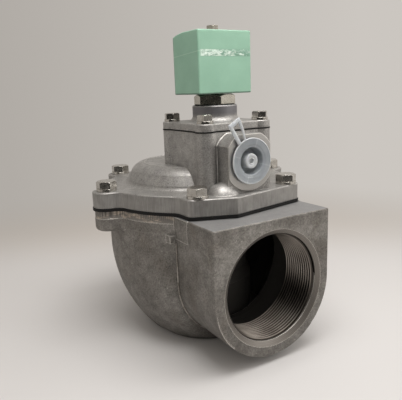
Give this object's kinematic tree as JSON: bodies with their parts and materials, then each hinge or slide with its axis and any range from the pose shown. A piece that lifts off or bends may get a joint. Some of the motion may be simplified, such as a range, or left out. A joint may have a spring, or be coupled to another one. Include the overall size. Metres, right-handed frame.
{
  "type": "dust collector pulse valve",
  "caption": "Right-angle diaphragm pulse valve with threaded inlet and outlet, pilot tower, capped exhaust port and solenoid coil.",
  "frame": {"origin": "centre of the outlet port in the plane of the outlet face, on which the valve stands", "axes": "+Z along the main valve axis towards the solenoid coil, -Y out of the inlet port, +X to the right of the inlet"},
  "size_m": [0.174, 0.1763, 0.2297],
  "materials": {
    "cast_body": "sand-cast aluminium, dull, with machined ports",
    "cast_cover": "die-cast aluminium, blasted",
    "stainless": "bright stainless fasteners",
    "spring_steel": "drawn spring wire",
    "plated_steel": "turned and plated steel",
    "black_rubber": "fabric-backed black rubber",
    "green_resin": "moulded green resin",
    "bobbin_plastic": "glass-filled nylon",
    "copper": "enamelled copper wire",
    "brass": "turned brass",
    "cap_plastic": "natural translucent polyethylene"
  },
  "bodies": {
    "valve": {"valve_body": "cast_body", "main_diaphragm": "black_rubber", "main_cover": "cast_cover", "main_bolts": "stainless", "main_lock_washers": "stainless", "main_spring": "spring_steel", "pilot_diaphragm": "black_rubber", "pilot_spring": "spring_steel", "pilot_bonnet": "cast_cover", "pilot_bolts": "stainless", "pilot_lock_washers": "stainless", "base_gasket": "black_rubber", "solenoid_base": "plated_steel", "core_tube": "stainless", "plug_nut": "stainless", "shading_ring": "copper", "core_spring": "spring_steel", "coil_washer": "stainless", "coil_nut": "stainless"},
    "main_lift_group": {"diaphragm_seal_disc": "cast_cover", "diaphragm_top_plate": "plated_steel", "diaphragm_screw": "plated_steel", "diaphragm_nut": "plated_steel"},
    "pilot_lift_group": {"pilot_seal_disc": "plated_steel", "pilot_top_plate": "plated_steel", "pilot_rivet": "plated_steel"},
    "plunger": {"core": "stainless", "core_seat": "black_rubber"},
    "coil": {"coil_housing": "green_resin", "coil_yoke": "plated_steel", "coil_bobbin": "bobbin_plastic", "coil_winding": "copper", "line_terminal_left": "plated_steel", "line_terminal_right": "plated_steel", "earth_terminal": "plated_steel", "connector_insert": "brass"},
    "dust_cap": {"exhaust_cap": "cap_plastic"}
  },
  "joints": [
    {"name": "main_diaphragm_lift", "type": "slide", "parent": "valve", "child": "main_lift_group", "axis": [0, 0, 1], "range_m": [0, 0.012], "stiffness_N_per_m": 400, "springref_m": -0.01, "deforming": ["main_diaphragm", "main_spring"]},
    {"name": "pilot_diaphragm_lift", "type": "slide", "parent": "valve", "child": "pilot_lift_group", "axis": [0, 0, 1], "range_m": [0, 0.003], "stiffness_N_per_m": 200, "springref_m": -0.004, "deforming": ["pilot_diaphragm", "pilot_spring"]},
    {"name": "core_lift", "type": "slide", "parent": "valve", "child": "plunger", "axis": [0, 0, 1], "range_m": [0, 0.0022], "stiffness_N_per_m": 200, "springref_m": -0.005, "deforming": ["core_spring"]},
    {"name": "coil_swivel", "type": "hinge", "parent": "valve", "child": "coil", "pos_m": [0, -0.0313, 0.2], "axis": [0, 0, 1], "continuous": true},
    {"name": "dust_cap_pull", "type": "slide", "parent": "valve", "child": "dust_cap", "axis": [0, -1, 0], "range_m": [0, 0.01]}
  ]
}
